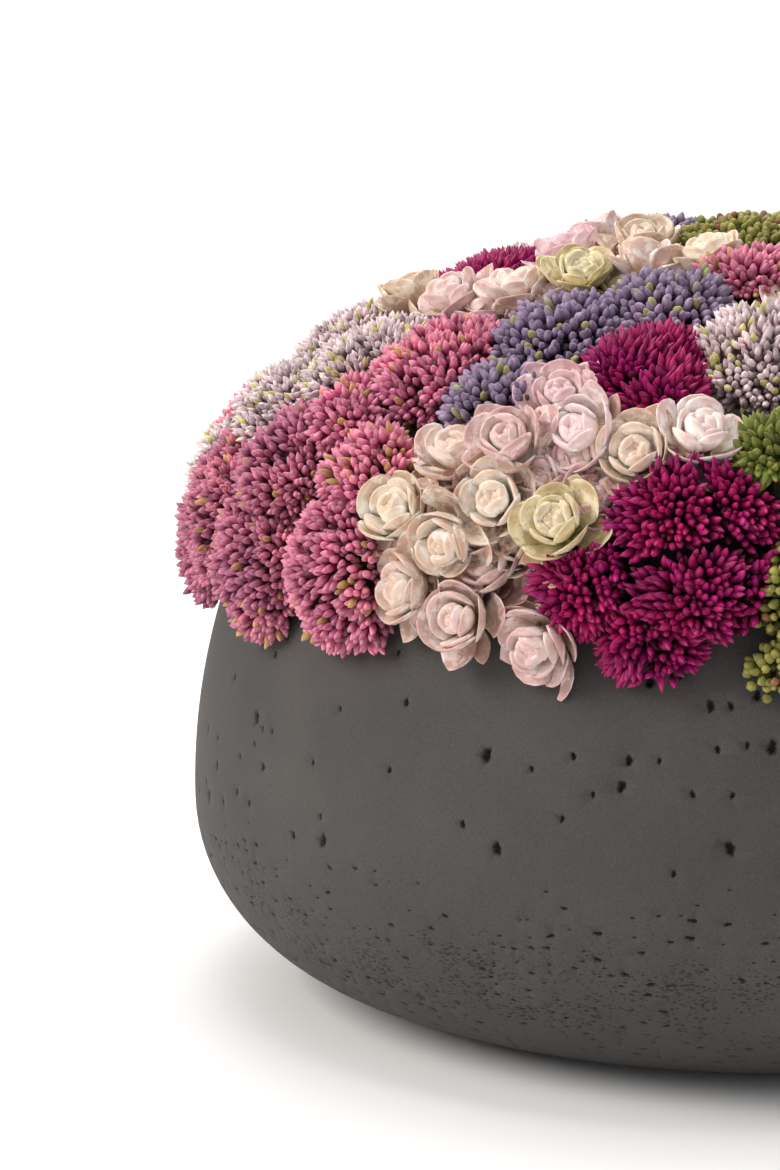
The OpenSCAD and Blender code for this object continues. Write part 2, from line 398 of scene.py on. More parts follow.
def castStoneMaterial():
    # Cast stone, from a mould: matt and chalky, cloudy in tone, with pinholes left by air
    material, tree, place = startMaterial("castStone")
    cloud = noiseOf(tree, place, 14.0, 6.0, 0.6)
    tone = rampOf(tree, cloud, (0.28, "3F3C3A"), (0.5, "464341"), (0.72, "4E4B48"))
    # Grains of sand are 0.3 mm, drawn at 0.7 mm so that they show
    grain = noiseOf(tree, place, 1400.0, 2.0)
    speck = rampOf(tree, grain, (0.35, "C4C4C4"), (0.65, "FFFFFF"))
    grained = mixOf(tree, 0.5, tone, speck, "MULTIPLY")
    # Pinholes of about 1 mm: dashes of painted shade that lie flat, crowded in the band of small pores and
    # rare above it. The band fades in over 8 to 30 mm from the foot and out over 50 to 92 mm.
    ragged = addNode(tree, "TexNoise", {"Vector": place, "Scale": 700.0, "Detail": 2.0}).outputs["Color"]
    shaken = addNode(tree, "VectorMath", {0: ragged, 3: 0.0009}, operation="SCALE")
    moved = addNode(tree, "VectorMath", {0: place, 1: shaken.outputs[0]}, operation="ADD")
    pressed = addNode(tree, "Mapping", {"Vector": moved.outputs[0], "Scale": (1.0, 1.0, 2.6)})
    holes = addNode(tree, "TexVoronoi", {"Vector": pressed.outputs[0], "Scale": 400.0, "Randomness": 1.0})
    level = addNode(tree, "SeparateXYZ", {0: place}).outputs["Z"]
    fromFoot = spreadOf(tree, level, 0.0, 0.5, 0.008, 0.03)
    fromTop = spreadOf(tree, level, 0.5, 0.12, 0.05, 0.092)
    band = mathOf(tree, "MINIMUM", fromFoot, fromTop)
    patch = noiseOf(tree, place, 50.0, 6.0, 0.7)
    crowding = mathOf(tree, "ADD", patch, band)
    size = spreadOf(tree, crowding, 0.0, 0.54, 0.77, 1.2)
    dot = mathOf(tree, "LESS_THAN", holes.outputs["Distance"], size)
    # The pits cut in the wall are darkened by their depth, and the dashes by the hole mask: both are painted
    # shade, in the colour 151312
    pore = markOf(tree, "pore")
    shallow = spreadOf(tree, holes.outputs["Color"], 0.35, 1.0)
    faded = mathOf(tree, "MULTIPLY", dot, shallow)
    dark = mathOf(tree, "MAXIMUM", faded, pore)
    shade = mathOf(tree, "MULTIPLY", dark, 0.92)
    poreShadedColour = mixOf(tree, shade, grained, "151312")
    height = mathOf(tree, "SUBTRACT", grain, dot)
    bump = bumpOf(tree, height, 0.35, 0.0004)
    rough = spreadOf(tree, cloud, 0.72, 0.86)
    dull = mathOf(tree, "MAXIMUM", rough, shade)
    closeMaterial(tree, poreShadedColour, bump, **{"Roughness": dull, "IOR": 1.5, "Specular IOR Level": 0.36})
    return material


rimRound = 4.5  # mm, the height of the rim's rounding
rimDrawnIn = 25  # mm, more than the wall draws in from belly to rim, and less than the rim's width
tiny = 0.01  # mm


def wallCurve():
    # The outside of the casting from its foot to just under the rim: a quarter ellipse and a parabola
    co = nodePoints("bowl")
    r = np.hypot(co[:, 0], co[:, 1])
    low = co[:, 2].min()
    belly = co[r.argmax(), 2]
    footR = r[co[:, 2] < low + tiny].max()
    under = co[:, 2] < co[:, 2].max() - rimRound
    topZ = co[under & (r > r.max() - rimDrawnIn), 2].max()
    topR = r[np.abs(co[:, 2] - topZ) < tiny].max()
    swing = np.radians(np.linspace(0, 90, 200))
    widest = r.max()
    lowPart = np.stack([footR + (widest - footR) * np.sin(swing), belly - (belly - low) * np.cos(swing)], 1)
    rise = np.linspace(0, 1, 200)[1:]
    highPart = np.stack([widest - (widest - topR) * rise ** 2, belly + (topZ - belly) * rise], 1)
    points = np.concatenate([lowPart, highPart])
    steps = np.linalg.norm(np.diff(points, axis=0), axis=1)
    return points, np.concatenate([[0], np.cumsum(steps)])


def wallRadius(z):
    points, _ = wall
    return np.interp(z, points[:, 1], points[:, 0])


def porePlaces(look, width, rng):
    # x runs round the wall laid out flat, y up along its curve, and no pore lies on the seam
    points, path = wall
    seam = 8
    places = []
    share, spare = look["apart"]
    for kind in ("large", "small"):
        size = look[kind + "Size"]
        wide, tall = look[kind + "Form"]
        low, high = np.interp(look[kind + "Band"], points[:, 1], path)
        made = 0
        while made < look[kind + "Pores"]:
            # Small pores crowd towards the middle of their band
            level = rng.random() if kind == "large" else 0.5 * (rng.random() + rng.random())
            radius = 0.5 * (size[0] + (size[1] - size[0]) * rng.random() ** 2.2)
            x = rng.uniform(seam, width - seam)
            y = low + (high - low) * level
            drift = noise.noise(Vector((x, y, 0)) / look["drift"], noise_basis="PERLIN_ORIGINAL")
            if kind == "small" and drift < rng.uniform(-0.5, 0.25):
                continue
            if all(math.hypot(x - p[0], y - p[1]) > share * (radius + p[2]) + spare for p in places):
                places.append((x, y, radius, wide, tall, rng.uniform(-0.4, 0.4)))
                made += 1
    return places


def makeBowl(look):
    rng = np.random.default_rng(look["seed"])
    points, path = wall
    bm = bmesh.new()
    bm.from_mesh(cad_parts["bowl"].data)
    bmesh.ops.remove_doubles(bm, verts=bm.verts, dist=1e-6)
    # Only the outside of the wall is made anew: the rim, cavity, drain and pad pockets stay
    footR, footZ = points[0] * mm
    topZ = points[-1][1] * mm
    gone = []
    for face in bm.faces:
        middle = face.calc_center_median()
        outward = Vector((middle.x, middle.y, 0)).normalized()
        side = face.normal.dot(outward)
        onWall = side > 0.02 or face.normal.z < -0.9
        if onWall and math.hypot(middle.x, middle.y) > footR and footZ < middle.z < topZ:
            gone.append(face)
    bmesh.ops.delete(bm, geom=gone, context="FACES")
    loops = {0.0: [], path[-1]: []}
    for edge in bm.edges:
        if edge.is_boundary:
            for vert in edge.verts:
                level = 0.0 if vert.co.z < (footZ + topZ) / 2 else path[-1]
                loops[level].append(math.atan2(vert.co.y, vert.co.x) % (2 * math.pi))
    meanR = 215.0  # the radius at which the wall is laid out flat
    width = 2 * math.pi * meanR
    pores = porePlaces(look, width, rng)
    flat = []
    for level, angles in loops.items():
        for angle in sorted(set(round(a, 5) for a in angles)):
            if 1e-4 < angle < 2 * math.pi - 1e-4:
                flat.append((angle * meanR, level))
        flat.append((0.0, level))
        flat.append((width, level))
    rows = int(path[-1] / look["grid"])
    columns = int(width / look["grid"])
    grid = []
    for row in range(1, rows):
        y = path[-1] * row / rows
        flat.append((0.0, y))
        flat.append((width, y))
        for column in range(1, columns):
            grid.append((width * (column + 0.5 * (row % 2) - 0.25) / columns, y))
    grid = np.array(grid)
    keep = np.ones(len(grid), bool)
    for x, y, radius, *_ in pores:
        near = np.hypot(grid[:, 0] - x, grid[:, 1] - y) < 1.6 * radius + 0.9
        keep &= ~near
    depth = [0.0] * len(flat) + [0.0] * int(keep.sum())
    flat += [tuple(p) for p in grid[keep]]
    for x, y, radius, wide, tall, slant in pores:
        rings = look["rings"] if radius > 0.9 else look["rings"][:3]
        for ring, (share, deep) in enumerate(rings):
            sides = 9 if radius > 1.2 else 7
            for side in range(sides):
                angle = 2 * math.pi * (side + 0.5 * (ring % 2)) / sides
                ragged = 0.1 * math.sin(3 * angle + 7 * x) + 0.12 * math.sin(5 * angle + 3 * y)
                reach = share * radius * (1 + ragged)
                a = reach * wide * math.cos(angle)
                b = reach * tall * math.sin(angle)
                flat.append((x + a * math.cos(slant) - b * math.sin(slant),
                             y + a * math.sin(slant) + b * math.cos(slant)))
                depth.append(deep * 2 * radius * look["depth"])
        flat.append((x, y))
        depth.append(2 * radius * look["depth"])
    coords, _, tris, origin, _, _ = delaunay_2d_cdt([Vector(p) for p in flat], [], [], 0, 1e-4)
    r = np.interp([c.y for c in coords], path, points[:, 0])
    z = np.interp([c.y for c in coords], path, points[:, 1])
    slopeR = np.interp([c.y for c in coords], path, np.gradient(points[:, 0], path))
    slopeZ = np.interp([c.y for c in coords], path, np.gradient(points[:, 1], path))
    mark = bm.verts.layers.float.new("pore")
    made = []
    for i, c in enumerate(coords):
        deep = depth[origin[i][0]] if origin[i] else 0.0
        angle = c.x / meanR
        reach = r[i] - deep * slopeZ[i]
        place = Vector((reach * math.cos(angle), reach * math.sin(angle), z[i] + deep * slopeR[i]))
        vert = bm.verts.new(place * mm)
        # The deeper a point lies in a pore, the more painted shade it gets
        vert[mark] = min(1.0, deep / look["dark"])
        made.append(vert)
    for tri in tris:
        bm.faces.new([made[i] for i in tri])
    bmesh.ops.remove_doubles(bm, verts=bm.verts, dist=2e-5)
    bmesh.ops.recalc_face_normals(bm, faces=bm.faces)
    mesh = bpy.data.meshes.new("cast_bowl")
    bm.to_mesh(mesh)
    openEdges = sum(1 for e in bm.edges if not e.is_manifold)
    bm.free()
    mesh.shade_smooth()
    mesh.set_sharp_from_angle(angle=math.radians(50))
    mesh.materials.clear()
    mesh.materials.append(castStoneMaterial())
    piece = addObject("cast_bowl", mesh)
    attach(piece, "bowl")
    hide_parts("bowl")
    print("bowl:", len(mesh.polygons), "faces,", len(pores), "pores,", openEdges, "open edges")


wall = wallCurve()
makeBowl(bowlLook)


# Pads, plug and liner keep the part's shapes

def rubberMaterial():
    # Moulded rubber: black, matt, a fine stippled skin and a little dust
    return skinMaterial("mouldedRubber", (60.0, 5.0), [(0.4, "1A1A1A"), (0.75, "2E2D2B")],
                        (1200.0, 2.0), (0.3, 0.0002), Roughness=0.75, IOR=1.52)


def linerMaterial():
    # Polypropylene, thermoformed: nearly black, a soft sheen and faint stretch lines
    material, tree, place = startMaterial("mouldedPolypropylene")
    stretched = addNode(tree, "Mapping", {"Vector": place, "Scale": (1.0, 1.0, 12.0)})
    flow = noiseOf(tree, stretched.outputs[0], 18.0, 4.0)
    tone = rampOf(tree, flow, (0.3, "1D2220"), (0.7, "272D2A"))
    grain = noiseOf(tree, place, 900.0, 2.0)
    bump = bumpOf(tree, grain, 0.15, 0.0002)
    rough = spreadOf(tree, flow, 0.38, 0.52)
    closeMaterial(tree, tone, bump, Roughness=rough, IOR=1.49)
    return material


def dressNode(name, material):
    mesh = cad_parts[name].data
    if not mesh.materials:
        mesh.materials.append(material)
    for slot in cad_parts[name].material_slots:
        slot.material = material


rubber = rubberMaterial()
dressNode("foot_pads", rubber)
dressNode("drain_plug", rubber)
dressNode("liner", linerMaterial())
print("pads, plug and liner are dressed")


# Foam and moss: bodies of revolution with a rough skin

# step and sides set how fine the mesh is, rough is how deep its skin goes in mm, grain how close
foamLook = {"step": 6.0, "sides": 150, "rough": 0.35, "grain": 0.2}
mossLook = {
    "step": 4.0,
    "sides": 220,
    "rough": 1.9,
    "grain": 0.09,
    "tufts": 3200,
    "tuft": (2.6, 6.0),  # mm long
    "width": (0.35, 0.7),
    "thick": (0.2, 0.4),
    "sunk": (1.2, 1.6),  # mm, how far a tuft's foot goes in sideways and down
    "lean": 0.5,
    "seed": 5,
}
swellMiddle = 150  # mm, the height below which the skin of foam and moss is pushed straight in


def resample(outline, step):
    outline = np.array(outline, float)
    path = np.concatenate([[0], np.cumsum(np.linalg.norm(np.diff(outline, axis=0), axis=1))])
    marks = np.concatenate([[a] + list(np.linspace(a, b, max(2, int((b - a) / step)))[1:-1])
                            for a, b in zip(path[:-1], path[1:]) if b > a] + [[path[-1]]])
    return np.stack([np.interp(marks, path, outline[:, 0]), np.interp(marks, path, outline[:, 1])], 1)


def roughLathe(outline, look):
    # Noise pushes the skin in only, so that it stays in the space of the part's solid
    outline = resample(outline, look["step"])
    template = lathe([(z, r) for r, z in outline], look["sides"])
    co = template["co"]
    for i, point in enumerate(co):
        if 0 < i < len(co) - 1:
            share = 0.5 + 0.5 * noise.noise(Vector(point) * look["grain"], noise_basis="PERLIN_ORIGINAL")
            away = Vector((point[0], point[1], max(0.0, point[2] - swellMiddle))).normalized()
            co[i] = Vector(point) - away * look["rough"] * share
    template["along"] = np.ones(len(co))
    return template


def crownOf(name):
    # Half outline of a node's crown, from its edge to the axis, read from its own points
    co = nodePoints(name)
    r = np.hypot(co[:, 0], co[:, 1])
    top = co[:, 2].max()
    edge = np.round(co[r > r.max() - 0.05, 2], 1).max()
    rise = np.radians(np.linspace(0, 90, 20))
    return r.max(), edge, [(r.max() * math.cos(a), edge + (top - edge) * math.sin(a)) for a in rise]


def foamMaterial():
    # Floral foam, cut dry: dull green, open cells of 0.2 mm drawn at 0.8 mm, their hollows darkened with
    # painted shade
    material, tree, place = startMaterial("cutFloralFoam")
    cells = addNode(tree, "TexVoronoi", {"Vector": place, "Scale": 1200.0})
    cloud = noiseOf(tree, place, 30.0, 4.0)
    tone = rampOf(tree, cloud, (0.3, "3E5540"), (0.7, "4C6650"))
    # Painted shade in the hollows of the cells, darkest at their middles
    cellHollowShade = rampOf(tree, cells.outputs["Distance"], (0.0, "8C8C8C"), (0.6, "FFFFFF"))
    mixed = mixOf(tree, 0.6, tone, cellHollowShade, "MULTIPLY")
    bump = bumpOf(tree, cells.outputs["Distance"], 0.5, 0.0004)
    closeMaterial(tree, mixed, bump, Roughness=0.95)
    return material


def mossMaterial():
    # Preserved moss: soft, dull green to brown, hairy at 1 mm, no shine; its colours are darkened to paint in
    # the shade under the flower heads
    material, tree, place = startMaterial("preservedMoss")
    tone = markOf(tree, "tone")
    patch = noiseOf(tree, place, 35.0, 5.0)
    both = mathOf(tree, "ADD", tone, patch)
    # These dark stops are partly the moss's own colour and partly painted shade from the heads above
    colour = rampOf(tree, both, (0.25, "1C1A12"), (0.55, "2E3119"), (0.9, "4A4C26"))
    hair = noiseOf(tree, place, 700.0, 3.0)
    bump = bumpOf(tree, hair, 0.6, 0.001)
    closeMaterial(tree, colour, bump, **{"Roughness": 0.95, "Sheen Weight": 0.25})
    return material


def makeFoam(look):
    rim, _, crown = crownOf("foam_core")
    co = nodePoints("foam_core")
    low = co[:, 2].min()
    baseR = np.hypot(co[:, 0], co[:, 1])[co[:, 2] < low + tiny].max()
    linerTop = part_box("liner")[1].z / mm
    template = roughLathe([(0, low), (baseR, low), (rim, linerTop)] + crown, look)
    piece = makeMesh("foam_block", [single(template)], [foamMaterial()])
    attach(piece, "insert")
    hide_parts("foam_core")


def makeMoss(look):
    rng = np.random.default_rng(look["seed"])
    rim, edge, crown = crownOf("moss_cover")
    innerRim, _, innerCrown = crownOf("foam_core")
    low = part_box("moss_cover")[0].z / mm
    outline = innerCrown[::-1] + [(innerRim, low), (rim, low)] + crown
    skin = roughLathe(outline, look)
    blade = lathe([(-0.3, 0), (0.0, 0.7), (0.45, 1.0), (1.0, 0)], 4)
    count = look["tufts"]
    height = rng.random(count) ** 0.8
    rise = np.arcsin(height)
    turn = rng.uniform(0, 2 * math.pi, count)
    top = crown[-1][1] - edge
    radial = ringOf(turn)
    inward, down = look["sunk"]
    places = radial * (rim * np.cos(rise))[:, None] - radial * inward
    places[:, 2] = edge + top * np.sin(rise) - down
    out = radial * (np.cos(rise) / rim)[:, None]
    out[:, 2] = np.sin(rise) / top
    out = unitRows(out) + rng.normal(0, look["lean"], (count, 3))
    length = rng.uniform(*look["tuft"], count)
    sizes = np.stack([rng.uniform(*look["width"], count), rng.uniform(*look["thick"], count), length], 1)
    tufts = scatter(blade, places, axesAlong(out, rng.uniform(*anyTurn, count)), sizes,
                    rng.uniform(0, 0.5, count), tone=rng.uniform(0.1, 0.75, count))
    piece = makeMesh("moss_bed", [single(skin, tone=np.array([0.2])), tufts], [mossMaterial()])
    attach(piece, "insert")
    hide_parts("moss_cover")


makeFoam(foamLook)
makeMoss(mossLook)
print("foam and moss are made")


# Heads: where each flower head stands, read from the part's own solids

# A head's crown falls away from its pole in bands of 18 degrees. The first band is a shallow cone, whose
# slope is known, so the widest point on it gives the head's radius.
crownShare = {"sedum": 0.65, "rosettes": 0.5}
crowd = 1.3  # half the width of a head's dome, as a share of its radius
headTall = 0.74  # its height
bandAngle = math.radians(18)
widestBand = 11  # mm
onDome = 3e-5  # how close to the dome a pole lies, as a share
polesApart = 3  # mm, points closer than this are one pole
heartDepth = 12  # mm from a head's pole to its middle
nextHead = 75  # mm, the widest gap between the middles of two heads that touch


def headRadius(co, pole, out, share):
    offset = co - pole
    depth = -(offset @ out)
    across = np.sqrt(np.maximum((offset ** 2).sum(1) - depth ** 2, 0))
    slope = share * math.tan(bandAngle / 2)
    onSlope = np.abs(depth - slope * across) < 0.004 * across + 0.002
    onBand = (across > 0.5) & (across < widestBand) & onSlope
    return across[onBand].max() / (crowd * math.sin(bandAngle))


def readHeads():
    heads = []
    for name in sorted(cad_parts):
        if "_sedum" not in name and "_rosettes" not in name:
            continue
        co = nodePoints(name)
        r = np.hypot(co[:, 0], co[:, 1])
        level = (r / dome["radius"]) ** 2 + ((co[:, 2] - dome["middle"]) / dome["height"]) ** 2
        poles = []
        for point in co[np.abs(level - 1) < onDome]:
            if all(np.linalg.norm(point - p) > polesApart for p in poles):
                poles.append(point)
        for pole in poles:
            out = pole * [dome["radius"] ** -2, dome["radius"] ** -2, 0]
            out[2] = (pole[2] - dome["middle"]) / dome["height"] ** 2
            out /= np.linalg.norm(out)
            kind = "sedum" if "sedum" in name else "rosettes"
            heads.append({
                "node": name,
                "pole": pole,
                "out": out,
                "radius": headRadius(co, pole, out, crownShare[kind]),
                "turn": math.degrees(math.atan2(-pole[0], -pole[1])),
            })
    return heads


heads = readHeads()
print(len(heads), "flower heads found, from", round(min(h["radius"] for h in heads), 1), "to",
      round(max(h["radius"] for h in heads), 1), "mm in radius")

headMiddles = np.array([h["pole"] - heartDepth * h["out"] for h in heads])
headSizes = np.array([h["radius"] for h in heads])


def ownSpace(points, head, slack):
    # True where a point is in a head's own space, and not in a neighbour's
    mine = head["pole"] - heartDepth * head["out"]
    gaps = np.linalg.norm(headMiddles - mine, axis=1)
    near = (gaps > 1) & (gaps < nextHead)
    own = ((points - mine) ** 2).sum(1) - head["radius"] ** 2
    keep = np.ones(len(points), bool)
    for middle, size in zip(headMiddles[near], headSizes[near]):
        gap = np.linalg.norm(middle - mine)
        theirs = ((points - middle) ** 2).sum(1) - size ** 2
        keep &= own < theirs + 2 * gap * slack
    return keep


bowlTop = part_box("bowl")[1].z / mm
rimR = wall[0][-1][0]


def clearOfBowl(points, gap):
    r = np.hypot(points[:, 0], points[:, 1])
    outside = r > wallRadius(points[:, 2]) + gap
    return (points[:, 2] > bowlTop + gap) | outside


# Stems: plastic-coated wire, from each head down into the foam

stemLook = {
    "sedum": 1.5,  # radius under a sedum head, mm
    "rosette": 0.95,
    "under": 9,  # mm below the pole where the stem starts, or 6 where it hangs over the rim
    "underHanging": 6,
    "bend": 36,  # mm below the pole where it turns to the middle
    "clear": (1.5, 6),  # mm out from the rim and above it, where a hanging stem turns
    "aim": 150,  # mm, the height on the axis that it runs to
    "run": 40,  # mm, how far it runs on past its bend
}


def stemMaterial():
    # Wire with an extruded polyethylene coat: olive to reddish brown, a dull waxy sheen
    return skinMaterial("coatedStemWire", (45.0, 4.0), [(0.35, "6B6A35"), (0.55, "7C6A45"), (0.7, "A07A66")],
                        (500.0, 2.0), (0.3, 0.0003), Roughness=0.55, IOR=1.51)


stemCoat = stemMaterial()


def makeStem(head, kind, look):
    pole = head["pole"]
    out = head["out"]
    radial = np.array([pole[0], pole[1], 0]) / math.hypot(pole[0], pole[1])
    if out[2] < -0.03:
        bend = radial * (rimR + look["clear"][0])
        bend[2] = bowlTop + look["clear"][1]
        start = pole - look["underHanging"] * out
    else:
        bend = pole - look["bend"] * out
        start = pole - look["under"] * out
    way = np.array([0, 0, look["aim"]]) - bend
    end = bend + way / np.linalg.norm(way) * look["run"]
    points = [start, 0.5 * (start + bend), bend * 0.96 + 0.04 * start, 0.5 * (bend + end), end]
    width = look[kind]
    return single(tube(points, [width * 0.8, width, width, width, width]), tone=np.array([0.5]))


# Sedum heads: hundreds of small fleshy buds on each, gathered in lumps

# Outlines as (height, half width), both as shares
budForms = {
    "ovoid": [(-0.7, 0), (-0.45, 0.16), (-0.05, 0.22), (0.14, 0.74), (0.42, 1.0), (0.72, 0.74),
              (0.9, 0.36), (1.0, 0)],
    "pointed": [(-0.6, 0), (-0.4, 0.2), (-0.05, 0.28), (0.14, 0.62), (0.36, 0.95), (0.56, 1.0),
                (0.78, 0.66), (0.92, 0.26), (1.0, 0)],
    "fat": [(-0.7, 0), (-0.45, 0.15), (-0.06, 0.2), (0.1, 0.68), (0.38, 1.0), (0.68, 0.9),
            (0.9, 0.5), (1.0, 0)],
    "rice": [(-0.8, 0), (-0.5, 0.14), (-0.05, 0.2), (0.15, 0.76), (0.42, 1.0), (0.7, 0.7),
             (0.88, 0.3), (1.0, 0)],
    "bead": [(-1.1, 0), (-0.7, 0.14), (-0.05, 0.2), (0.12, 0.72), (0.45, 1.0), (0.78, 0.8),
             (0.94, 0.42), (1.0, 0)],
    "inner": [(-0.6, 0), (0.1, 0.7), (0.55, 1.0), (0.85, 0.5), (1.0, 0)],
    "leaf": [(-0.4, 0), (-0.25, 0.25), (0.0, 0.5), (0.2, 0.85), (0.45, 1.0), (0.72, 0.7),
             (0.9, 0.3), (1.0, 0)],
}

# size: a bud's half width and length in mm; spacing: mm between buds; lump and rise: mm across and high;
# fan: how much the buds of a lump splay; grown: the head's size next to the part's; colours: stalk, base,
# body, tip, blotches, the odd few (oddShare of them), and the painted shade between the buds
sedumLooks = {
    "pink": {
        "bud": "ovoid", "size": (1.6, 6.4), "spacing": 3.08, "lump": 9.5, "rise": 3.4, "fan": 0.8,
        "grown": 1.04, "rough": 0.5, "oddShare": 0.07,
        "colours": "7A5A3C AA4066 CA6284 E294A6 90345C B9A24C 3A1A22",
    },
    "mauve": {
        "bud": "ovoid", "size": (1.56, 6.2), "spacing": 3.0, "lump": 9.5, "rise": 3.4, "fan": 0.8,
        "grown": 1.04, "rough": 0.52, "oddShare": 0.05,
        "colours": "6E5A40 8C3A60 B05878 CC8496 78345E B89A54 2E1826",
    },
    "lavender": {
        "bud": "fat", "size": (1.72, 6.6), "spacing": 3.45, "lump": 9.5, "rise": 2.4, "fan": 0.8,
        "grown": 1.06, "rough": 0.62, "oddShare": 0.07,
        "colours": "6F7040 4E3854 75607C 9C8AA4 6E4864 9EA050 1E1A28",
    },
    "burgundy": {
        "bud": "pointed", "size": (1.42, 8.8), "spacing": 2.6, "lump": 18.0, "rise": 2.0, "fan": 0.9,
        "grown": 1.24, "rough": 0.42, "oddShare": 0.14,
        "colours": "5A2A30 480628 7E0A48 AE1C66 3C0420 A81E66 1A030B",
    },
    "lilac": {
        "bud": "rice", "size": (1.36, 5.1), "spacing": 2.75, "lump": 8.0, "rise": 2.4, "fan": 1.0,
        "grown": 1.06, "rough": 0.55, "oddShare": 0.1,
        "colours": "8C8A5A A8848E CCB4B8 E6D6D4 9C7490 C8C660 6A5660",
    },
    "green": {
        "bud": "bead", "size": (1.75, 4.2), "spacing": 3.3, "lump": 8.0, "rise": 2.2, "fan": 0.8,
        "grown": 1.12, "rough": 0.5, "oddShare": 0.08,
        "colours": "6E7A34 56662A 82903E 8A7240 9AA650 8E4A44 1E2410",
    },
    "greenPointed": {
        "bud": "leaf", "size": (1.7, 7.4), "spacing": 3.3, "lump": 9.0, "rise": 1.5, "fan": 0.4,
        "grown": 1.1, "rough": 0.45, "oddShare": 0.04,
        "colours": "6E7A34 4E6024 72843A 7E7A3C 8E9C48 A8485A 1E2410",
    },
}

budLook = {
    # The last of each triple is how much painted shade darkens that layer's buds
    "layers": ((0.0, 1.0, 0.0), (3.2, 0.75, 0.55)),  # mm sunk, share of the buds, how dark
    "round": 1.18,  # how far round the head they reach, where 1 is its widest line
    "roundLumps": 1.1,
    "lumps": 1.35,  # lumps on a head, for each square of its radius over a lump's width
    "lumpWidth": 1.9,  # on a head of radius 1, for one lump
    "fanDepth": 11,  # mm below its surface that a lump's buds fan out from
    "jitter": 0.28,  # of their spacing
    "proud": 1.8,  # mm, the most that one stands out
    "back": 0.3,  # of its length, the most that one sits back
    "length": (0.82, 1.12),
    "width": (0.86, 1.12),
    "bend": 0.22,
    "stray": 0.13,
    "overlap": 1.2,  # mm that a bud may reach into a neighbour's space
    "offBowl": 2.2,  # mm
}


def budMaterial(name, look):
    # Polyethylene buds, injection moulded and dip dyed: waxy, darker at the foot, paler on the shoulders
    material, tree, place = startMaterial(name + "DyedPolyethylene")
    along, tone, tint, depth = (markOf(tree, key) for key in pointMarks)
    stalk, base, body, tip, blush, odd, budGapShade = look["colours"].split()
    dyed = rampOf(tree, along, (0.0, stalk), (0.1, base), (0.45, body), (0.85, tip), (1.0, body))
    # Blotches of about 2 mm where the dye took more
    blotch = noiseOf(tree, place, 420.0, 3.0)
    spread = spreadOf(tree, blotch, 0.0, 0.6, 0.5, 0.68)
    blushed = mixOf(tree, spread, dyed, blush)
    chosen = mathOf(tree, "GREATER_THAN", tint, 1 - look["oddShare"])
    mixed = mixOf(tree, mathOf(tree, "MULTIPLY", chosen, 0.75), blushed, odd)
    value = spreadOf(tree, tone, 0.72, 1.22)
    # Each dip took a little differently, so the colour drifts over about 25 mm
    drift = noiseOf(tree, place, 38.0, 2.0)
    hue = spreadOf(tree, drift, 0.488, 0.506, 0.35, 0.65)
    deeper = spreadOf(tree, drift, 0.84, 1.08, 0.35, 0.65)
    level = mathOf(tree, "MULTIPLY", value, deeper)
    varied = addNode(tree, "HueSaturation", {"Hue": hue, "Value": level, "Color": mixed})
    # Sunk buds and the heart are mixed towards the painted shade colour, the last of each look's colours
    inner = mixOf(tree, depth, varied.outputs[0], budGapShade)
    skin = noiseOf(tree, place, 900.0, 2.0)
    bump = bumpOf(tree, skin, 0.25, 0.0003)
    rough = spreadOf(tree, depth, look["rough"], 1.0)
    closeMaterial(tree, inner, bump, **{
        "Roughness": rough, "IOR": 1.5, "Specular IOR Level": 0.34, "Subsurface Weight": 0.08,
        "Subsurface Radius": (0.003, 0.0015, 0.0015),
    })
    return material


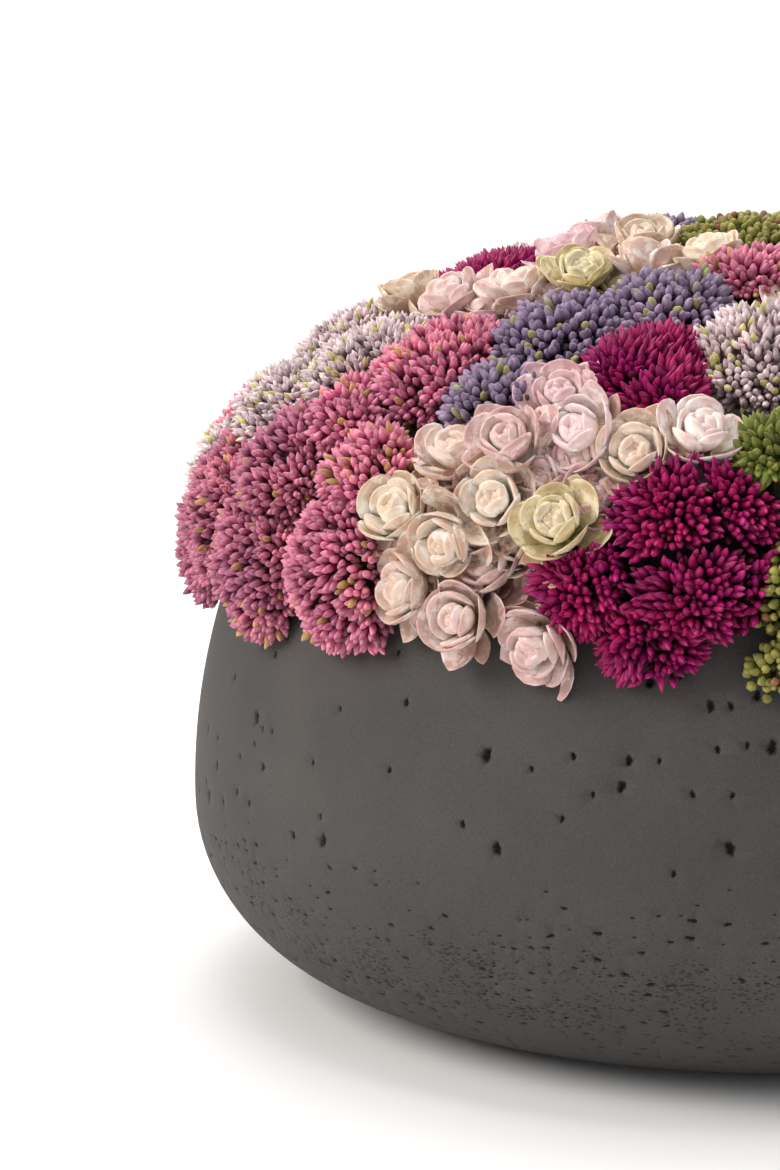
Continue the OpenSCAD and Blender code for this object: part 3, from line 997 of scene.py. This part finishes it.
def makeSedum(head, look, rng):
    wide = head["radius"] * look["grown"] * crowd
    tall = head["radius"] * look["grown"] * headTall
    halfWidth, length = look["size"]
    across = axesAlong(head["out"][None], np.array([rng.uniform(*anyTurn)]))[0]
    lumps = max(3, round((wide / look["lump"]) ** 2 * budLook["lumps"]))
    turnLump = np.arange(lumps) * goldenAngle + rng.normal(0, 0.18, lumps)
    down = (np.arange(lumps) + rng.uniform(0.2, 0.8, lumps)) / lumps
    tipLump = np.arccos(1 - down * budLook["roundLumps"])
    lumpUnit = onSphere(tipLump, turnLump)
    batches = []
    # The inner buds only fill the gaps, so they have a plainer shape
    forms = (lathe(budForms[look["bud"]], 6, 0.12), lathe(budForms["inner"], 5))
    for layer, (sink, share, deep) in enumerate(budLook["layers"]):
        area = math.pi * wide * (wide + tall) * 1.1
        count = int(share * area / (0.866 * look["spacing"] ** 2))
        steps = np.arange(count) + 0.5
        tip = np.arccos(1 - steps / count * budLook["round"])
        turn = steps * goldenAngle + layer
        unit = onSphere(tip, turn)
        unit = unitRows(unit + rng.normal(0, budLook["jitter"] * look["spacing"] / wide, unit.shape))
        nearest = (unit @ lumpUnit.T).argmax(1)
        offset = np.linalg.norm(unit - lumpUnit[nearest], axis=1)
        lumpWidth = budLook["lumpWidth"] / math.sqrt(lumps)
        bulge = look["rise"] * (1 - (offset / lumpWidth) ** 2)
        scale = np.array([wide, wide, tall])
        surface = unit * scale - [0, 0, tall]
        facing = unitRows(unit / scale)
        root = lumpUnit[nearest] * scale - [0, 0, tall]
        fan = unitRows(surface - (root - unitRows(lumpUnit[nearest] / scale) * budLook["fanDepth"]))
        way = unitRows(fan * look["fan"] + facing + rng.normal(0, budLook["stray"], fan.shape))
        # Some buds sit back a little, and a few stand proud
        proud = budLook["proud"] * rng.random(count) ** 7
        uneven = proud - budLook["back"] * length * rng.random(count) ** 2
        ends = surface + facing * (bulge - sink + uneven)[:, None]
        lengths = length * rng.uniform(*budLook["length"], count)
        places = head["pole"] + (ends - way * lengths[:, None]) @ across
        ways = way @ across
        tips = places + ways * lengths[:, None]
        keep = ownSpace(tips, head, budLook["overlap"])
        keep &= clearOfBowl(places, budLook["offBowl"]) & clearOfBowl(tips, budLook["offBowl"])
        widths = halfWidth * rng.uniform(*budLook["width"], count)
        sizes = np.stack([widths, widths, lengths], 1)
        frames = axesAlong(ways, rng.uniform(*anyTurn, count))
        bends = rng.uniform(0, budLook["bend"], count)
        buds = scatter(forms[layer], places[keep], frames[keep], sizes[keep], bends[keep],
                       tone=rng.random(count)[keep], tint=rng.random(count)[keep],
                       depth=np.full(count, deep)[keep])
        batches.append(buds)
    batches.append(headCore(head, wide, tall, length, across, coreLook))
    return batches


coreLook = {
    "inset": 0.95,  # of a bud's length, in from the head's widest line
    "sunk": 0.9,  # of a bud's length, down from the pole
    "waist": (8, 0.55),  # mm below the head, and a share of the heart's width
    "foot": (14, 15, 2.2),  # from and to mm below the head, and its radius
    "clearHead": 1.5,  # mm from a neighbour's space
    "clearBowl": 2.5,
    "pull": (12, 0.12),  # most steps, and the share of the way to the middle in each
}


def headCore(head, wide, tall, length, across, look):
    # The heart that the buds grow from, drawn in to the stem below, coloured all over in the painted shade
    # between the buds
    inner = wide - length * look["inset"]
    angles = np.radians(np.linspace(0, 90, 6))
    profile = [(-length * look["sunk"] + (tall - 1) * (math.cos(a) - 1), inner * math.sin(a)) for a in angles]
    waist, share = look["waist"]
    foot, end, neck = look["foot"]
    profile += [(-tall - waist, inner * share), (-tall - foot, neck), (-tall - end, 0)]
    template = lathe(profile[::-1], 18, 0.08)
    template["along"] = np.zeros(len(template["co"]))
    points = head["pole"] + template["co"] @ across
    middle = head["pole"] - heartDepth * head["out"]
    steps, pull = look["pull"]
    for i, point in enumerate(points):
        # A point that a neighbour or the bowl has a claim to is drawn back to the heart's middle
        for _ in range(steps):
            one = point[None]
            if ownSpace(one, head, -look["clearHead"])[0] and clearOfBowl(one, look["clearBowl"])[0]:
                break
            point = point + (middle - point) * pull
        points[i] = point
    # depth 1.0 gives the heart the full painted shade colour
    return {"co": points[None], "template": template,
            "marks": {"tone": np.array([0.4]), "depth": np.array([1.0]), "tint": np.array([0.0])}}


# Rosettes: whorls of thick cupped petals round a closed heart

rosetteLook = {
    # form, count, length, half width, lean from the axis, curl along the petal, how far below the crown
    # it starts, half thickness, and how much it is tinted like an outer petal; outermost first
    "whorls": [
        ("pointed", 3, 11.5, 2.6, 100, 52, 10.2, 0.35, 1.0),
        ("pointed", 4, 14.8, 5.0, 96, 48, 9.6, 0.32, 0.8),
        ("spoon", 5, 13.4, 5.5, 78, 62, 9.0, 0.42, 0.6),
        ("spoon", 5, 11.0, 4.1, 58, 56, 8.2, 0.75, 0.35),
        ("spoon", 5, 8.9, 3.0, 38, 44, 7.4, 1.15, 0.1),
        ("pearl", 4, 6.8, 2.3, 20, 26, 6.6, 1.5, 0.0),
        ("pearl", 1, 5.6, 1.9, 4, 8, 5.6, 1.5, 0.0),
    ],
    "forms": {
        "pearl": [(0, 0), (0.06, 0.34), (0.25, 0.55), (0.45, 0.8), (0.62, 1.0), (0.78, 0.97), (0.9, 0.74),
                  (0.97, 0.42), (1.0, 0)],
        "spoon": [(0, 0), (0.04, 0.28), (0.22, 0.42), (0.42, 0.68), (0.6, 0.92), (0.75, 1.0), (0.88, 0.84),
                  (0.96, 0.5), (1.0, 0)],
        "pointed": [(0, 0), (0.04, 0.3), (0.22, 0.48), (0.42, 0.8), (0.58, 1.0), (0.72, 0.95), (0.85, 0.66),
                    (0.94, 0.3), (1.0, 0)],
    },
    "cup": 0.42,  # how far the edges rise, as a share of the half width
    "grown": 1.46,
    "filler": (46, 9, 0.85),  # widest gap between two that gets a third behind, its depth, its size
    "sunk": (-3.5, 1.5),  # mm above the part's crown
    "open": (0.8, 1.06),  # how far its petals lean out, as a share
    "slot": "rosette_petals",
}

# The tint of each rosette, from right to left: 0 is white, 0.3 cream, 0.6 pink and 0.9 yellow-green
rosetteTints = {
    "front": (0.82, 0.25, 0.5, 0.35, 0.42, 0.3),
    "low": (0.5, 0.45, 0.4),
    "upper": (0.12, 0.35, 0.05, 0.62),
    "back": (0.4, 0.5, 0.75),
    "top": (0.3, 0.4, 0.85, 0.75, 0.6, 0.5, 0.4),
    "behind": (0.3, 0.6, 0.1, 0.5, 0.85, 0.8, 0.4),
}


def petalMaterial():
    # Soft PVC petals, cast and airbrushed: pale and waxy, tinted along the edge, and green and darker at the
    # foot, where the darkening is painted shade of the creases
    material, tree, place = startMaterial("airbrushedVinylPetals")
    along, tone, tint, depth = (markOf(tree, key) for key in pointMarks)
    main = rampOf(tree, tint, (0.0, "FAF6F6"), (0.3, "F6F0E6"), (0.6, "F0DADA"), (0.9, "EBE6BA"))
    edge = rampOf(tree, tint, (0.0, "D4A8B0"), (0.3, "C29E78"), (0.6, "BA8490"), (0.9, "AA984C"))
    # The foot colours: a real green tint, made darker than it is as painted shade in the creases between
    # petals
    foot = rampOf(tree, tint, (0.0, "D2CEAC"), (0.3, "C4C088"), (0.6, "C4A48C"), (0.9, "A2AC4C"))
    low = spreadOf(tree, along, 0.0, 1.0, 0.15, 0.65)
    # The heart is the palest
    heart = spreadOf(tree, depth, 0.5, 0.0, 0.0, 0.4)
    pale = mixOf(tree, heart, main, "FCF9F1")
    body = mixOf(tree, low, foot, pale)
    high = spreadOf(tree, along, 0.0, 0.85, 0.8, 1.0)
    tipped = mixOf(tree, high, body, edge)
    # Sprayed blotches 3 to 5 mm across, stronger on the outer petals
    mist = noiseOf(tree, place, 210.0, 5.0, 0.65)
    outer = spreadOf(tree, depth, 0.25, 0.85, 0.0, 0.9)
    nearer = mathOf(tree, "MULTIPLY_ADD", depth, 0.08, mist)
    spray = spreadOf(tree, nearer, 0.0, outer, 0.5, 0.6)
    misted = mixOf(tree, spray, tipped, edge)
    value = spreadOf(tree, tone, 0.95, 1.12)
    varied = addNode(tree, "HueSaturation", {"Value": value, "Color": misted})
    # Sepals are brownish pink
    outermost = spreadOf(tree, depth, 0.0, 0.7, 0.75, 1.0)
    sepal = mixOf(tree, outermost, varied.outputs[0], "B99080")
    veins = noiseOf(tree, place, 800.0, 3.0)
    bump = bumpOf(tree, veins, 0.25, 0.0003)
    closeMaterial(tree, sepal, bump, **{
        "Roughness": 0.32, "IOR": 1.53, "Coat Weight": 0.15, "Coat Roughness": 0.2,
        "Subsurface Weight": 0.05, "Subsurface Radius": (0.004, 0.003, 0.002),
    })
    return material


def petalTemplate(profile, length, halfWidth, thick, cup, curl):
    # A flattened lathe, cupped across and curled along
    template = lathe(profile, 10)
    co = template["co"]
    share = co[:, 2].copy()
    width = np.interp(share, *zip(*profile))
    x = co[:, 0] * halfWidth
    y = co[:, 1] / np.maximum(width, 0.3) * thick * width ** 0.5 + cup * x ** 2 / halfWidth
    angle = math.radians(curl) * share
    bend = math.radians(curl)
    centreY = length / bend * (1 - np.cos(angle))
    centreZ = length / bend * np.sin(angle)
    template["co"] = np.stack([x, centreY + y * np.cos(angle), centreZ - y * np.sin(angle)], 1)
    template["along"] = share
    return template


def makeWhorl(crown, whorl, look, across, size, tint, phase, opened, rng):
    form, count, length, halfWidth, lean, curl, below, thick, outer = whorl
    # Plump petals have little hollow
    cup = look["cup"] * (1 - 0.6 * min(1, thick))
    template = petalTemplate(look["forms"][form], length, halfWidth, thick, cup, curl)
    turn = phase + (np.arange(count) + rng.uniform(-0.17, 0.17, count)) * 2 * math.pi / count
    tilt = np.radians(lean * opened + rng.uniform(-6, 6, count) * (1 + outer))
    radial = ringOf(turn)
    axis = np.array([[0, 0, 1.0]])
    z = radial * np.sin(tilt)[:, None] + axis * np.cos(tilt)[:, None]
    y = -radial * np.cos(tilt)[:, None] + axis * np.sin(tilt)[:, None]
    frames = np.stack([np.cross(y, z), y, z], 1) @ across
    places = crown + (radial * 0.8 - axis * below * size) @ across
    sizes = size * rng.uniform(0.9, 1.08, (count, 1)) * np.ones((1, 3))
    return scatter(template, places, frames, sizes, tone=rng.random(count), tint=np.full(count, tint),
                   depth=np.full(count, outer))


def makeRosette(head, look, tint, rng):
    size = head["radius"] / 10 * look["grown"]
    lean = head["out"] + rng.normal(0, 0.2, 3)
    across = axesAlong((lean / np.linalg.norm(lean))[None], np.array([rng.uniform(*anyTurn)]))[0]
    crown = head["pole"] + head["out"] * rng.uniform(*look["sunk"])
    opened = rng.uniform(*look["open"])
    batches = []
    phase = 0.0
    for whorl in look["whorls"]:
        batches.append(makeWhorl(crown, whorl, look, across, size, tint, phase, opened, rng))
        phase += goldenAngle
    return batches


# Picks: each of the part's picks becomes one piece

def lookOf(name):
    colour = name.split("_")[1]
    return "greenPointed" if name.endswith("green_sedum_pointed") else colour


budMaterials = {key: budMaterial(key, look) for key, look in sedumLooks.items()}
petals = petalMaterial()


fillerClear = 6  # mm from the bowl


def fillersOf(own, look):
    # Smaller rosettes set back in the gaps between two others
    widest, deep, share = look["filler"]
    fillers = []
    for head in own:
        for other in heads:
            gap = np.linalg.norm(head["pole"] - other["pole"])
            later = (other["turn"], other["pole"][2]) > (head["turn"], head["pole"][2])
            if "_rosettes" not in other["node"] or not later or gap > widest:
                continue
            out = head["out"] + other["out"]
            out /= np.linalg.norm(out)
            pole = 0.5 * (head["pole"] + other["pole"]) - deep * out
            if clearOfBowl((pole - fillerClear * out)[None], fillerClear)[0]:
                fillers.append(dict(head, pole=pole, out=out, radius=head["radius"] * share))
    return fillers


def makePick(name, number):
    rng = np.random.default_rng(100 + number)
    own = sorted((h for h in heads if h["node"] == name), key=lambda h: (h["turn"] % 360, h["pole"][2]))
    batches = []
    if "_rosettes" in name:
        tints = rosetteTints[name.split("_")[-1]]
        for head, tint in zip(own, tints):
            batches += makeRosette(head, rosetteLook, tint, rng)
            batches.append(dict(makeStem(head, "rosette", stemLook), slot=1))
        for head in fillersOf(own, rosetteLook):
            batches += makeRosette(head, rosetteLook, rng.choice(tints), rng)
        materials = [petals, stemCoat]
    else:
        key = lookOf(name)
        for head in own:
            batches += makeSedum(head, sedumLooks[key], rng)
            batches.append(dict(makeStem(head, "sedum", stemLook), slot=1))
        materials = [budMaterials[key], stemCoat]
    batches = [b for b in batches if len(b["co"])]
    piece = makeMesh(name + "_pick", batches, materials)
    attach(piece, "insert")
    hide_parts(name)
    return len(piece.data.polygons)


pickNames = sorted({h["node"] for h in heads})
counts = [makePick(name, number) for number, name in enumerate(pickNames)]
print(len(pickNames), "picks made,", sum(counts), "faces, the largest", max(counts))
